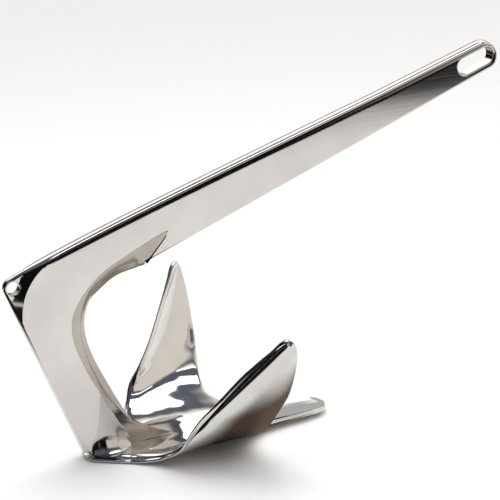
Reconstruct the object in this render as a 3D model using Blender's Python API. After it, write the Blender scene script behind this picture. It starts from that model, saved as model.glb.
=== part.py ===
"""Claw anchor in polished stainless steel: a J-shaped shank on edge on a pressed three-lobed claw.

Metres, +Z up, floor at Z = 0. The shank stands in the plane Y = 0 and its chain end points along +X.
Shank shapes are drawn in a side plane (x forward, z up) whose origin is the trip eye's centre, at the heel.
"""
import math

import bmesh
import bpy
import numpy as np
from mathutils import Vector
from mathutils.geometry import delaunay_2d_cdt

# Driving dimensions
EYE_HEIGHT = 0.190        # trip eye centre above the floor
SHANK_T = 0.0170          # shank thickness
LUG_T = 0.0095            # thickness of the thin lug round the trip eye
CHAMFER = 0.0016          # broken edge all round the shank
EYE_R = 0.0064            # trip eye radius
HEEL_R = 0.0098           # round of the lug, concentric with the trip eye
BEND_R = 0.0615           # outer round of the full-thickness bend
LUG_SLOPE = 0.0040        # width of the slope from full thickness down to the lug
TOP_ANGLE = math.radians(18.0)      # upper edge of the arm
BACK_ANGLE = math.radians(70.0)     # back edge of the leg
ARM_REACH = 0.5385        # trip eye to the chain end
ARM_DEPTH = 0.0460        # lower edge of the arm, carried back to the eye, below the eye
END_DEPTH = 0.0326        # depth of the arm at the chain end
SWELL = 0.0037            # slight swell of the arm's upper edge
SWELL_END = 0.3985        # where the swell has faded out, ahead of the eye
END_TOP_R = 0.0165        # rounds of the chain end
END_LOW_R = 0.0125
END_LEAN = 0.0020         # how far the chain end leans back at its lower corner
SLOT_SETBACK = 0.0280     # chain end to the chain slot centre, along x
SLOT_LEN = 0.0440
SLOT_W = 0.0175
PLATE_T = 0.0070          # claw plate thickness
FRONT_TAPER = 0.35        # share of it ground away at the leading edges
HALF_SPREAD = 0.152       # half the distance between the claw tips
STIFF_NOSE = 0.0055       # thickness of the throat stiffener's thin inner edge
WELD_REACH = 0.0185       # how far the foot welds spread over the plate
WELD_RISE = 0.0680        # how far they climb the leg beside the stiffener
BELLY_OUT = 0.10          # outward and downward bulge of the lobes, as shares of the rib's length
BELLY_DOWN = 0.08
BELLY_LIFT = 0.0040       # lift of the plate where the lobes leave the foot
LIFT_Y = 0.0640           # where that lift is greatest, out from the middle
LIFT_WIDTH = 0.0220
GAP = 0.0003              # clearance between neighbouring pieces

TOP_END = HEEL_R / math.cos(TOP_ANGLE) + ARM_REACH * math.tan(TOP_ANGLE)
LOWER_ANGLE = math.atan((TOP_END - END_DEPTH + ARM_DEPTH) / ARM_REACH)    # lower edge of the arm
EYE_TO_CENTRE = (ARM_REACH - END_LEAN * 0.75 - HEEL_R) / 2
SLOT_X = ARM_REACH - SLOT_SETBACK
EYE = np.array((0.0, 0.0))
TOP_NORMAL = math.pi / 2 + TOP_ANGLE
BACK_NORMAL = math.pi * 1.5 - BACK_ANGLE


def clear_scene():
    for item in list(bpy.data.objects):
        bpy.data.objects.remove(item)


def steel(name, colour, roughness):
    material = bpy.data.materials.new(name)
    material.use_nodes = True
    shader = material.node_tree.nodes["Principled BSDF"]
    shader.inputs["Base Color"].default_value = (*colour, 1.0)
    shader.inputs["Roughness"].default_value = roughness
    shader.inputs["Metallic"].default_value = 1.0
    return material


def to_world(x, y, z):
    return (x - EYE_TO_CENTRE, y, z + EYE_HEIGHT)


def add_node(name, verts, faces, material, smooth_angle=None):
    mesh = bpy.data.meshes.new(name)
    mesh.from_pydata([Vector(v) for v in verts], [], faces)
    mesh.materials.append(material)
    mesh.validate()
    if smooth_angle is not None:
        mesh.shade_smooth()
        mesh.set_sharp_from_angle(angle=math.radians(smooth_angle))
    mesh.update()
    item = bpy.data.objects.new(name, mesh)
    bpy.context.scene.collection.objects.link(item)
    return item


# ---- plane geometry -------------------------------------------------------

def arc(centre, radius, start, end, steps):
    angles = np.linspace(start, end, steps + 1)
    return [centre + radius * np.array((math.cos(a), math.sin(a))) for a in angles]


def top_edge(x):
    """Nearly straight, with a slight swell that fades out along the arm."""
    share = min(max(x / SWELL_END, 0.0), 1.0)
    return HEEL_R / math.cos(TOP_ANGLE) + x * math.tan(TOP_ANGLE) + SWELL * math.sin(math.pi * share ** 0.6)


def low_edge(x):
    return -ARM_DEPTH + x * math.tan(LOWER_ANGLE)


def back_edge(z):
    return (-HEEL_R - z * math.cos(BACK_ANGLE)) / math.sin(BACK_ANGLE)


def foot_z():
    return -EYE_HEIGHT + PLATE_T + GAP


def leg_point(width, share):
    """A point ahead of the leg's back edge by the width, down the leg by a share of the eye's height."""
    z = -EYE_HEIGHT * share
    return (back_edge(z) + width, z)


def foot_point(ahead, rise):
    """A point ahead of the leg's heel at the foot, above the foot's underside."""
    return (back_edge(foot_z()) + ahead, foot_z() + rise)


def round_corner(before, corner, after, radius, steps):
    inward = (before - corner) / np.linalg.norm(before - corner)
    outward = (after - corner) / np.linalg.norm(after - corner)
    half = math.acos(float(np.clip(inward @ outward, -1, 1))) / 2
    middle = (inward + outward) / np.linalg.norm(inward + outward)
    centre = corner + middle * radius / math.sin(half)
    first = corner + inward * radius / math.tan(half) - centre
    last = corner + outward * radius / math.tan(half) - centre
    start = math.atan2(first[1], first[0])
    turn = math.atan2(last[1], last[0]) - start
    turn = (turn + math.pi) % (2 * math.pi) - math.pi
    return arc(centre, radius, start, start + turn, steps)


def curve(points, steps):
    """Smooth curve through the points, steps pieces per span."""
    pts = np.array(points, float)
    pts = np.vstack((2 * pts[0] - pts[1], pts, 2 * pts[-1] - pts[-2]))
    out = []
    for i in range(1, len(pts) - 2):
        for k in range(steps):
            t = k / steps
            a, b, c, d = pts[i - 1], pts[i], pts[i + 1], pts[i + 2]
            out.append(0.5 * (2 * b + (c - a) * t + (2 * a - 5 * b + 4 * c - d) * t * t
                              + (3 * b - a - 3 * c + d) * t ** 3))
    out.append(pts[-2])
    return out


def offset_loop(loop, distance):
    """Moves a counter-clockwise loop inwards by the distance."""
    pts = np.array(loop)
    ahead = np.roll(pts, -1, 0) - pts
    ahead /= np.linalg.norm(ahead, axis=1)[:, None]
    behind = np.roll(ahead, 1, 0)
    normal = np.stack((-(ahead + behind)[:, 1], (ahead + behind)[:, 0]), 1)
    normal /= np.linalg.norm(normal, axis=1)[:, None]
    across = np.stack((-ahead[:, 1], ahead[:, 0]), 1)
    stretch = np.clip((normal * across).sum(1), 0.5, 1)
    return [p for p in pts + normal * (distance / stretch)[:, None]]


# ---- shank ----------------------------------------------------------------

def stiffener_tip():
    return np.array((0.1573, low_edge(0.1573) + 0.0192))


def crease_line():
    """Where the throat stiffener meets the shank, from its upper tip down to the foot."""
    tip = stiffener_tip()
    bend = [tip, (0.1180, 0.0135), (0.0840, -0.0050)]
    leg = [(0.0582, 0.176), (0.0448, 0.316), (0.0427, 0.474), (0.0453, 0.653), (0.0481, 0.800)]
    return curve(bend + [leg_point(*p) for p in leg], 4)


def shank_outline():
    """Counter-clockwise from the heel, down the leg, up the throat and out along the arm."""
    base = foot_z()
    heel = arc(EYE, HEEL_R, TOP_NORMAL, BACK_NORMAL, 8)
    leg_back = [np.array((back_edge(base + 0.005), base + 0.005)), np.array(foot_point(0.0041, 0.0))]
    foot_front = [np.array(foot_point(0.0499, 0.0))]
    crease = crease_line()[::-1]
    under = [np.array((0.1312, low_edge(0.1312)))]
    corner_low = np.array((ARM_REACH - END_LEAN, low_edge(ARM_REACH - END_LEAN)))
    corner_top = np.array((ARM_REACH, top_edge(ARM_REACH)))
    low = round_corner(under[0], corner_low, corner_top, END_LOW_R, 6)
    back = np.array((SWELL_END, top_edge(SWELL_END)))
    top = round_corner(corner_low, corner_top, back, END_TOP_R, 7) + [back]
    upper = [np.array((x, top_edge(x))) for x in np.linspace(0.95, 0.04, 14) * SWELL_END]
    return heel + leg_back + foot_front + crease + under + low + top + upper


def slot_loop(grow=0.0):
    angle = (TOP_ANGLE + LOWER_ANGLE) / 2
    along = np.array((math.cos(angle), math.sin(angle)))
    centre = np.array((SLOT_X, (top_edge(SLOT_X) + low_edge(SLOT_X)) / 2))
    half = (SLOT_LEN - SLOT_W) / 2
    radius = SLOT_W / 2 + grow
    right = arc(centre + along * half, radius, angle - math.pi / 2, angle + math.pi / 2, 8)
    left = arc(centre - along * half, radius, angle + math.pi / 2, angle + 1.5 * math.pi, 8)
    return right + left


def eye_loop(grow=0.0):
    return arc(EYE, EYE_R + grow, 0.0, 2 * math.pi, 20)[:-1]


def bend_centre():
    """Centre of the round that is tangent to the arm's upper edge and the leg's back edge."""
    lift = np.array((-math.sin(TOP_ANGLE), math.cos(TOP_ANGLE)))
    back = np.array((-math.sin(BACK_ANGLE), -math.cos(BACK_ANGLE)))
    rows = np.array((lift, back))
    return np.linalg.solve(rows, np.array((HEEL_R - BEND_R, HEEL_R - BEND_R)))


def half_thickness(point):
    """Full thickness inside the bend, sloping to the thin lug outside it."""
    centre = bend_centre()
    out = point - centre
    facing = math.atan2(out[1], out[0])
    between = TOP_NORMAL < facing % (2 * math.pi) < BACK_NORMAL
    beyond = np.linalg.norm(out) - BEND_R
    if not between or beyond <= 0:
        return SHANK_T / 2
    share = min(beyond / LUG_SLOPE, 1.0)
    return SHANK_T / 2 + (LUG_T - SHANK_T) / 2 * share


def bend_arcs():
    centre = bend_centre()
    lines = []
    for radius in (BEND_R, BEND_R + LUG_SLOPE):
        trim = math.acos((BEND_R - 1.5 * CHAMFER) / radius)
        lines.append(arc(centre, radius, TOP_NORMAL + trim, BACK_NORMAL - trim, 14))
    return lines


def plate_solid(outer, holes, grown, creases):
    """Plate with broken edges: flat faces triangulated, side walls stitched between loops."""
    rim = offset_loop(outer, CHAMFER)
    loops = [rim] + grown
    flat = [p for loop in loops for p in loop]
    edges = []
    start = 0
    for loop in loops:
        edges += [(start + i, start + (i + 1) % len(loop)) for i in range(len(loop))]
        start += len(loop)
    for line in creases:
        edges += [(start + i, start + i + 1) for i in range(len(line) - 1)]
        flat += line
        start += len(line)
    result = delaunay_2d_cdt([Vector(p) for p in flat], edges, [], 0, 1e-7)
    points, tris = result[0], result[2]
    inside = [t for t in tris if is_solid(np.mean([points[i] for i in t], axis=0), loops)]
    return stitch(points, inside, outer, rim, holes, grown)


def is_solid(point, loops):
    return winds(point, loops[0]) and not any(winds(point, hole) for hole in loops[1:])


def winds(point, loop):
    odd = False
    for a, b in zip(loop, loop[1:] + loop[:1]):
        if (a[1] > point[1]) != (b[1] > point[1]):
            cross = a[0] + (point[1] - a[1]) * (b[0] - a[0]) / (b[1] - a[1])
            odd = odd != (point[0] < cross)
    return odd


def nearest(points, wanted):
    table = np.array([tuple(p) for p in points])
    return [int(np.argmin(((table - w) ** 2).sum(1))) for w in wanted]


def stitch(points, tris, outer, rim, holes, grown):
    verts = []
    faces = []
    count = len(points)
    for side in (-1, 1):
        for p in points:
            flat = np.array(tuple(p))
            verts.append(to_world(flat[0], side * half_thickness(flat), flat[1]))
    for t in tris:
        faces.append(tuple(t))
        faces.append(tuple(count + i for i in reversed(t)))
    for wall, cap in [(outer, rim)] + list(zip(holes, grown)):
        first = len(verts)
        for side in (-1, 1):
            for p in wall:
                depth = half_thickness(p) - CHAMFER
                verts.append(to_world(p[0], side * depth, p[1]))
        near = nearest(points, cap)
        size = len(wall)
        for i in range(size):
            j = (i + 1) % size
            faces.append((near[j], near[i], first + i, first + j))
            faces.append((first + j, first + i, first + size + i, first + size + j))
            faces.append((first + size + j, first + size + i, count + near[i], count + near[j]))
    return verts, faces


def make_outward(item):
    work = bmesh.new()
    work.from_mesh(item.data)
    bmesh.ops.recalc_face_normals(work, faces=work.faces)
    work.to_mesh(item.data)
    work.free()


def build_shank(material):
    outer = shank_outline()
    verts, faces = plate_solid(outer, [slot_loop(), eye_loop()],
                               [slot_loop(CHAMFER), eye_loop(CHAMFER)], bend_arcs())
    item = add_node("shank", verts, faces, material, 40)
    make_outward(item)


# ---- throat stiffener -----------------------------------------------------

def throat_line():
    """Thin inner edge of the stiffener, from under the arm round the throat and out over the claw."""
    bend = [(0.1290, low_edge(0.1310) - 0.0030), (0.1050, -0.0058), (0.0870, -0.0168)]
    leg = [(0.0739, 0.153), (0.0598, 0.274), (0.0547, 0.437), (0.0574, 0.666), (0.0608, 0.790)]
    spine = [(0.0639, 0.0115), (0.0839, 0.0045), (0.0959, 0.0012)]
    return curve(bend + [leg_point(*p) for p in leg] + [foot_point(*p) for p in spine], 4)


def stiffener_web_line():
    """The crease, moved off the shank by the clearance."""
    crease = np.array(crease_line())
    step = np.gradient(crease, axis=0)
    step /= np.linalg.norm(step, axis=1)[:, None]
    return list(crease + np.stack((-step[:, 1], step[:, 0]), 1) * GAP)


def ribbon(web, nose, profile):
    """Solid between two lines in the side plane; the profile gives (share across, half thickness)."""
    verts = []
    faces = []
    count = 2 * len(profile)
    for a, b in zip(web, nose):
        ring = [(a + (b - a) * share, half) for share, half in profile]
        for point, half in ring:
            verts.append(to_world(point[0], -half, point[1]))
        for point, half in reversed(ring):
            verts.append(to_world(point[0], half, point[1]))
    for i in range(len(web) - 1):
        for k in range(count):
            m = (k + 1) % count
            faces.append((i * count + k, i * count + m, (i + 1) * count + m, (i + 1) * count + k))
    faces.append(tuple(range(count)))
    faces.append(tuple(reversed(range((len(web) - 1) * count, len(web) * count))))
    return verts, faces


def resample(line, count):
    pts = np.array(line)
    run = np.concatenate(([0.0], np.cumsum(np.linalg.norm(np.diff(pts, axis=0), axis=1))))
    marks = np.linspace(0.0, run[-1], count)
    return [np.array((np.interp(m, run, pts[:, 0]), np.interp(m, run, pts[:, 1]))) for m in marks]


def build_stiffener(material):
    """Feathers out along the arm's side from a fine tip, steps down square, then follows the throat."""
    web = stiffener_web_line()
    split = min(range(len(web)), key=lambda i: abs(web[i][0] - 0.1240))
    foot = [np.array(foot_point(0.0505, 0.0))]
    tip = stiffener_tip()
    under = np.array((0.1296, low_edge(0.1310)))
    feather = [tip + (under - tip) * share + np.array((-GAP, 0.0)) for share in np.linspace(0.06, 1.0, 8)]
    web_side = resample(web[:split + 1], 9)[1:] + resample(web[split:], 34)[1:] + foot
    nose_side = feather + resample(throat_line(), 34)
    half = SHANK_T / 2
    nose = STIFF_NOSE / 2
    profile = [(0.0, half), (0.45, half * 0.86), (0.88, nose + 0.0012), (1.0, nose - 0.0012)]
    verts, faces = ribbon(web_side, nose_side, profile)
    item = add_node("throat_stiffener", verts, faces, material, 35)
    make_outward(item)


# ---- claw -----------------------------------------------------------------

def space_curve(points, count):
    """Smooth space curve through the points, resampled evenly."""
    pts = np.array(points, float)
    flat = curve(pts, 6)
    line = np.array(flat)
    run = np.concatenate(([0.0], np.cumsum(np.linalg.norm(np.diff(line, axis=0), axis=1))))
    marks = np.linspace(0.0, run[-1], count)
    return np.stack([np.interp(marks, run, line[:, i]) for i in range(3)], 1)


def rear_edge():
    """Rear edge of the plate, middle to tip (ahead of the leg's heel, share of the half spread, rise)."""
    return [(0.0031, 0.0, 0.0), (0.0044, 0.062, 0.0), (0.0109, 0.108, 0.0),
            (0.0219, 0.164, 0.0), (0.0384, 0.243, 0.0), (0.0534, 0.329, 0.0028),
            (0.0639, 0.401, 0.0078), (0.0764, 0.502, 0.0190), (0.0941, 0.602, 0.0408),
            (0.1147, 0.709, 0.0710), (0.1327, 0.814, 0.0970), (0.1558, 0.957, 0.1267),
            (0.1613, 0.987, 0.1307)]


def front_edge():
    """Front edge from the toe to the tip, in the same measures."""
    return [(0.2674, 0.0, 0.0005), (0.2629, 0.079, 0.0008), (0.2529, 0.132, 0.0015),
            (0.2299, 0.165, 0.0025), (0.1969, 0.197, 0.0030), (0.1799, 0.237, 0.0042),
            (0.1674, 0.309, 0.0068), (0.1594, 0.408, 0.0118), (0.1597, 0.513, 0.0190),
            (0.1625, 0.605, 0.0280), (0.1657, 0.678, 0.0400), (0.1691, 0.748, 0.0540),
            (0.1714, 0.826, 0.0690), (0.1727, 0.888, 0.0855), (0.1731, 0.948, 0.1040),
            (0.1714, 0.993, 0.1220), (0.1677, 1.000, 0.1310)]


def placed_edge(shares):
    heel = back_edge(foot_z())
    return [(heel + ahead, share * HALF_SPREAD, PLATE_T + rise) for ahead, share, rise in shares]


def at_shares(line, shares):
    run = np.linspace(0.0, 1.0, len(line))
    return np.stack([np.interp(shares, run, line[:, i]) for i in range(3)], 1)


def crossing_ribs(columns):
    """Rear and front ends of the plate's ribs, from the left tip over the middle to the right tip.

    The toe takes the first ribs and the notch the next, so that no rib crosses the front edge.
    """
    steps = np.linspace(0.0, 1.0, columns)
    knots = (0.0, 0.36, 0.56, 1.0)
    rear_shares = np.interp(steps, knots, (0.0, 0.18, 0.36, 1.0))
    front_shares = np.interp(steps, knots, (0.0, 0.276, 0.47, 1.0))
    rear = at_shares(space_curve(placed_edge(rear_edge()), 200), rear_shares)
    front = at_shares(space_curve(placed_edge(front_edge()), 300), front_shares)
    mirror = np.array((1.0, -1.0, 1.0))
    return np.vstack((rear[:0:-1] * mirror, rear)), np.vstack((front[:0:-1] * mirror, front))


def plate_grid(columns, rows):
    """Upper surface of the claw: ribs from the rear edge to the front edge, bellied outwards in the lobes."""
    rear, ends = crossing_ribs(columns)
    grid = []
    for a, b in zip(rear, ends):
        rise = min(max((a[2] + b[2]) / 2 - PLATE_T, 0.0) / 0.06, 1.0) * np.linalg.norm(b - a)
        side = math.copysign(1.0, a[1]) if abs(a[1]) > 1e-6 else 0.0
        lift = BELLY_LIFT * math.exp(-((abs(a[1] + b[1]) / 2 - LIFT_Y) / LIFT_WIDTH) ** 2)
        bulge = np.array((0.0, side * BELLY_OUT, -BELLY_DOWN)) * rise
        belly = bulge + np.array((0.0, 0.0, lift))
        row = []
        for k in range(rows + 1):
            t = k / rows
            row.append(a * (1 - t) + b * t + belly * 4 * t * (1 - t))
        grid.append(row)
    return np.array(grid)


def grid_normals(grid):
    """Area-weighted normals of the grid's points, facing up in the middle of the plate."""
    total = np.zeros_like(grid)
    diagonal = grid[1:, 1:] - grid[:-1, :-1]
    other = grid[:-1, 1:] - grid[1:, :-1]
    face = np.cross(diagonal, other)
    for i in (0, 1):
        for k in (0, 1):
            total[i:len(grid) - 1 + i, k:grid.shape[1] - 1 + k] += face
    total /= np.linalg.norm(total, axis=2)[:, :, None]
    return total * np.sign(total[len(grid) // 2, 0, 2])


def boundary(columns, rows):
    """Grid positions round the plate, once."""
    path = [(i, 0) for i in range(columns)]
    path += [(columns - 1, k) for k in range(1, rows)]
    path += [(i, rows) for i in range(columns - 1, -1, -1)]
    path += [(0, k) for k in range(rows - 1, 0, -1)]
    return path


def thicken(grid, thickness):
    """The plate's two faces: the edges bound the upper one at the foot, the outer one up on the lobes."""
    normal = grid_normals(grid)
    climb = np.clip((grid[:, :, 2:] - PLATE_T - 0.010) / 0.035, 0.0, 1.0)
    ahead = np.linspace(0.0, 1.0, grid.shape[1])[None, :, None]
    depth = thickness * (1 - FRONT_TAPER * ahead ** 2)
    upper = grid + normal * depth * climb * climb * (3 - 2 * climb) * (1 - ahead / 2)
    lower = upper - normal * depth
    lower[:, :, 2] = np.maximum(lower[:, :, 2], 0.0)
    return upper, lower, normal


def plate_shell(middle, thickness, nose):
    """Closed plate: upper grid, lower grid and a rounded rim that stands out by the nose."""
    grid, lower, normal = thicken(middle, thickness)
    columns, rows = grid.shape[:2]
    verts = list(grid.reshape(-1, 3)) + list(lower.reshape(-1, 3))
    size = columns * rows
    faces = []
    for i in range(columns - 1):
        for k in range(rows - 1):
            a, b, c, d = i * rows + k, (i + 1) * rows + k, (i + 1) * rows + k + 1, i * rows + k + 1
            faces.append((a, b, c, d))
            faces.append((size + d, size + c, size + b, size + a))
    path = boundary(columns, rows - 1)
    ring = [i * rows + k for i, k in path]
    top = np.array([verts[r] for r in ring])
    low = np.array([verts[size + r] for r in ring])
    ahead = np.roll(top, -1, 0) - np.roll(top, 1, 0)
    up = np.array([normal[i, k] for i, k in path])
    out = np.cross(ahead, up)
    out /= np.linalg.norm(out, axis=1)[:, None]
    centre = top.mean(axis=0)
    if ((top - centre) * out).sum() < 0:
        out = -out
    layers = [ring]
    for angle in (30, 90, 150):
        share = (1 - math.cos(math.radians(angle))) / 2
        reach = nose * math.sin(math.radians(angle))
        first = len(verts)
        verts += list(top + (low - top) * share + out * reach)
        layers.append(list(range(first, first + len(ring))))
    layers.append([size + r for r in ring])
    for upper, under in zip(layers, layers[1:]):
        for i in range(len(ring)):
            j = (i + 1) % len(ring)
            faces.append((upper[i], under[i], under[j], upper[j]))
    return verts, faces


def build_claw(material):
    grid = plate_grid(34, 14)
    verts, faces = plate_shell(grid, PLATE_T, 0.0018)
    placed = [(v[0] - EYE_TO_CENTRE, v[1], v[2]) for v in verts]
    item = add_node("claw", placed, faces, material, 50)
    make_outward(item)


# ---- foot welds -----------------------------------------------------------

def weld_stations():
    """Along the foot: (ahead of the heel, height climbed, reach over the plate)."""
    low, tall, out = 0.38 * WELD_RISE, WELD_RISE, WELD_REACH
    return [(0.0069, 0.30 * low, 0.08 * out), (0.0099, 0.80 * low, 0.22 * out),
            (0.0139, 0.98 * low, 0.40 * out), (0.0167, 1.05 * low, 0.54 * out),
            (0.0187, 0.80 * tall, 0.62 * out), (0.0204, 0.96 * tall, 0.70 * out),
            (0.0229, 0.88 * tall, 0.78 * out), (0.0269, 0.75 * tall, 0.90 * out),
            (0.0309, 0.62 * tall, out), (0.0354, 0.47 * tall, 0.97 * out),
            (0.0399, 0.33 * tall, 0.86 * out), (0.0444, 0.22 * tall, 0.65 * out),
            (0.0484, 0.10 * tall, 0.35 * out)]


def build_weld(name, side, material):
    """Hollow fillet between the leg's side and the plate."""
    verts = []
    faces = []
    ring = 8
    inner = SHANK_T / 2 + GAP
    rows = weld_stations()
    for ahead, rise, reach in rows:
        x = foot_point(ahead, 0.0)[0]
        profile = [(inner, foot_z())]
        for k in range(ring + 1):
            a = math.pi / 2 * k / ring
            y = inner + 0.0008 + reach * (1 - math.sin(a))
            profile.append((y, foot_z() + 0.0006 + rise * (1 - math.cos(a))))
        profile[1] = (profile[1][0], foot_z())
        profile[-1] = (inner, profile[-1][1])
        for y, z in profile:
            verts.append(to_world(x, side * y, z))
    count = ring + 2
    for i in range(len(rows) - 1):
        for k in range(count):
            m = (k + 1) % count
            faces.append((i * count + k, i * count + m, (i + 1) * count + m, (i + 1) * count + k))
    faces.append(tuple(range(count)))
    faces.append(tuple(reversed(range((len(rows) - 1) * count, len(rows) * count))))
    item = add_node(name, verts, faces, material, 40)
    make_outward(item)


def main():
    clear_scene()
    polished = steel("polished stainless", (0.80, 0.79, 0.77), 0.08)
    plate = steel("pressed plate, polished", (0.79, 0.79, 0.78), 0.09)
    weld = steel("ground weld", (0.62, 0.61, 0.60), 0.22)
    build_shank(polished)
    build_stiffener(polished)
    build_claw(plate)
    build_weld("foot_weld_right", -1, weld)
    build_weld("foot_weld_left", 1, weld)


main()
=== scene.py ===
"""Looks of the claw anchor: mirror-polished stainless steel on a pale floor in a plain white studio.

Metres, +Z up. Shank shapes are drawn in a side plane (x forward, z up) whose origin is the trip eye's
centre.
"""
import math

import bmesh
import bpy
import numpy as np
from mathutils import Matrix, Vector, noise
from mathutils.geometry import delaunay_2d_cdt


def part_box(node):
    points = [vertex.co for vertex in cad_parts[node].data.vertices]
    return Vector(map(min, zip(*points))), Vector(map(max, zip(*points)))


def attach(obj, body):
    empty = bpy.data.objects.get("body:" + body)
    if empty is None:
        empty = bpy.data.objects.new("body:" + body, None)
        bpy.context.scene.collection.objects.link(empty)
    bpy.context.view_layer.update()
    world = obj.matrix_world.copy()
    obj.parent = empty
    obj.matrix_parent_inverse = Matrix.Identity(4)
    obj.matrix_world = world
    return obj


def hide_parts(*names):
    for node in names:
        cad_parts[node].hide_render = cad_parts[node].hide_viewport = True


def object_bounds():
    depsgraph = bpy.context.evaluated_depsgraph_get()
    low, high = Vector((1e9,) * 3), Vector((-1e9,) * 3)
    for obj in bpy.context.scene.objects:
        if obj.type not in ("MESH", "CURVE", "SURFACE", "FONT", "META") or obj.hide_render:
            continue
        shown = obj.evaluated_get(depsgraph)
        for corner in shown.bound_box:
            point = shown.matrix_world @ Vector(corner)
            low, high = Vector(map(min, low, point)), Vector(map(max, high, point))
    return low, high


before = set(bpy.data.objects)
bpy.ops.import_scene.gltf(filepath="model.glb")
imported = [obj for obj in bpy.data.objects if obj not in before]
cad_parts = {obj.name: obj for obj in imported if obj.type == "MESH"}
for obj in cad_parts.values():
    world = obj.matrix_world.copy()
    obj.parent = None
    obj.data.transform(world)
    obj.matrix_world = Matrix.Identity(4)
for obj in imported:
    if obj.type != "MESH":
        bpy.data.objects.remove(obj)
cad_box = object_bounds()

# Driving dimensions, the model's own
EYE_HEIGHT = 0.190
SHANK_T = 0.0170
LUG_T = 0.0095
EYE_R = 0.0064
HEEL_R = 0.0098
BEND_R = 0.0615
TOP_ANGLE = math.radians(18.0)
BACK_ANGLE = math.radians(70.0)
ARM_REACH = 0.5385
ARM_DEPTH = 0.0460
END_DEPTH = 0.0326
SWELL = 0.0037
SWELL_END = 0.3985
END_TOP_R = 0.0165
END_LOW_R = 0.0125
END_LEAN = 0.0020
SLOT_SETBACK = 0.0280
SLOT_LEN = 0.0440
SLOT_W = 0.0175
PLATE_T = 0.0070
FRONT_TAPER = 0.35
HALF_SPREAD = 0.152
BELLY_LIFT = 0.0040
LIFT_Y = 0.0640
LIFT_WIDTH = 0.0220
STIFF_NOSE = 0.0055
BELLY_OUT = 0.10
BELLY_DOWN = 0.08
WELD_RISE = 0.0680
GAP = 0.0003

# Finish: how the surfaces are ground and rounded off, in places softer than the plain model
LUG_SLOPE = 0.0105        # the blended slope from the bend down to the lug, wider than the model's
EDGE_R = 0.0024           # polished round along the shank's edges
HOLE_R = 0.0016           # and round its slot and eye
RIM_TILT = math.radians(20.0)       # lean of the crowned edge faces where they meet that round
RIM_INSET = 0.3           # share of that crown by which the outline is set back
CROWN_TILT = math.radians(15.0)     # tilt of the arm's side at its upper edge
CROWN_WIDTH = 0.0085      # how far down the side that tilt runs out
SIDE_RIPPLE = 0.00006     # waviness of the shank's sides
STIFFENER_WIDTH = 0.0125  # width at which the stiffener's bevels reach their full depth
FEATHER_BEVEL = 0.03      # share of that depth on its feathered tip
SPINE_SPREAD = 0.60       # width of the spine's base at its end, as a share of the shank's
SPINE_START = 0.80        # share of the way down where it starts to narrow into the spine
SPINE_FULL = 0.97         # and where it has its full point
FILLET_RISE = 0.0190      # height of the foot welds' low fillet
FILLET_REACH = 0.0120     # and its reach over the plate, less than the model's plain weld
RIDGE_REACH = 0.0060      # thickness of their ridge up along the stiffener
REAR_NOSE = 0.0042        # round of the claw's rear rim
FRONT_NOSE = 0.0018       # and of its leading edges
RIM_FALL = 0.0040         # how far the plate's face rounds off towards the rear rim
RIM_WIDTH = 0.0130        # and over what width
FULL_RIB = 0.05           # rib length at which the rim has its full rounds
PLATE_RIPPLE = 0.00045    # waviness of the pressed plate
PLATE_WAVES = 34.0        # and how many waves it has to the metre
SINK = 0.0006             # how far joined pieces run into each other, where they are one casting
MESH_STEP = 0.0018        # spacing of the shank's inner points

TOP_END = HEEL_R / math.cos(TOP_ANGLE) + ARM_REACH * math.tan(TOP_ANGLE)
LOWER_ANGLE = math.atan((TOP_END - END_DEPTH + ARM_DEPTH) / ARM_REACH)
SLOT_X = ARM_REACH - SLOT_SETBACK
EYE = np.array((0.0, 0.0))
TOP_NORMAL = math.pi / 2 + TOP_ANGLE
BACK_NORMAL = math.pi * 1.5 - BACK_ANGLE
EYE_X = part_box("shank")[0].x + HEEL_R
FLOOR_Z = cad_box[0][2]


# ---- small helpers --------------------------------------------------------

def to_world(x, y, z):
    return (x + EYE_X, y, z + EYE_HEIGHT + FLOOR_Z)


def smooth(t):
    t = np.clip(t, 0.0, 1.0)
    return t * t * (3 - 2 * t)


def arc(centre, radius, start, end, steps):
    angles = np.linspace(start, end, steps + 1)
    return [centre + radius * np.array((math.cos(a), math.sin(a))) for a in angles]


def curve(points, steps):
    """Smooth curve through the points, steps pieces per span."""
    pts = np.array(points, float)
    pts = np.vstack((2 * pts[0] - pts[1], pts, 2 * pts[-1] - pts[-2]))
    out = []
    for i in range(1, len(pts) - 2):
        for k in range(steps):
            t = k / steps
            a, b, c, d = pts[i - 1], pts[i], pts[i + 1], pts[i + 2]
            out.append(0.5 * (2 * b + (c - a) * t + (2 * a - 5 * b + 4 * c - d) * t * t
                              + (3 * b - a - 3 * c + d) * t ** 3))
    out.append(pts[-2])
    return out


def resample(line, count):
    """The same line with evenly spaced points."""
    pts = np.array(line, float)
    run = np.concatenate(([0.0], np.cumsum(np.linalg.norm(np.diff(pts, axis=0), axis=1))))
    marks = np.linspace(0.0, run[-1], count)
    return np.stack([np.interp(marks, run, pts[:, i]) for i in range(pts.shape[1])], 1)


def divide(loop, longest):
    """Splits long stretches of a closed loop, keeping its corners."""
    out = []
    for a, b in zip(loop, loop[1:] + loop[:1]):
        parts = max(1, math.ceil(np.linalg.norm(b - a) / longest))
        out += [a + (b - a) * k / parts for k in range(parts)]
    return out


def band(first, second, size):
    """Faces between two closed rings of points."""
    return [(first + i, first + (i + 1) % size, second + (i + 1) % size, second + i) for i in range(size)]


def loft(rings, count):
    """Faces round a row of rings that follow each other, with both ends closed."""
    faces = []
    for i in range(rings - 1):
        for k in range(count):
            m = (k + 1) % count
            faces.append((i * count + k, i * count + m, (i + 1) * count + m, (i + 1) * count + k))
    faces.append(tuple(range(count)))
    faces.append(tuple(reversed(range((rings - 1) * count, rings * count))))
    return faces


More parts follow.
